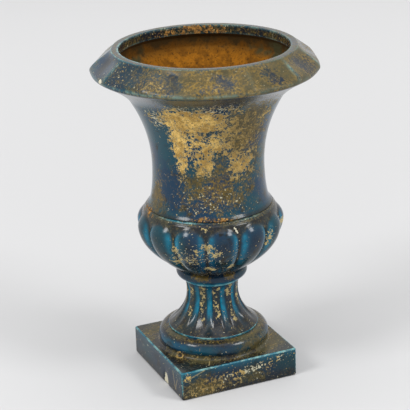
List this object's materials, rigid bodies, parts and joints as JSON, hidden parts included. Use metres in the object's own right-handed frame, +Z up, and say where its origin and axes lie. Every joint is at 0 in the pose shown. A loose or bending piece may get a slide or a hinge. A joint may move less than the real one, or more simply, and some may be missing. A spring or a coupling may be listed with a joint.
{
  "type": "garden urn",
  "caption": "Campana garden urn of stacked hollow castings: waisted bell with a rolled, tongued rim, gadrooned bowl, fluted stem and square plinth. Holds soil and drains through its floor.",
  "frame": {"origin": "centre of the plinth's underside, on the ground", "axes": "+Z up along the urn's axis, X and Y square to the plinth's sides"},
  "size_m": [0.2889, 0.2886, 0.44],
  "materials": {
    "enamelled_iron": "glossy blue-green enamel, worn pale on the edges, with ochre and rust encrustation",
    "fastener_steel": "weathered steel"
  },
  "bodies": {
    "root": {"plinth_casting": "enamelled_iron", "fluted_stem": "enamelled_iron", "gadrooned_bowl": "enamelled_iron", "bell_casting": "enamelled_iron", "flange_bolts": "fastener_steel", "flange_nuts": "fastener_steel", "flange_washers": "fastener_steel", "tie_rod": "fastener_steel", "tie_rod_nuts": "fastener_steel", "tie_rod_washers": "fastener_steel", "clamp_bar": "fastener_steel"}
  },
  "joints": []
}
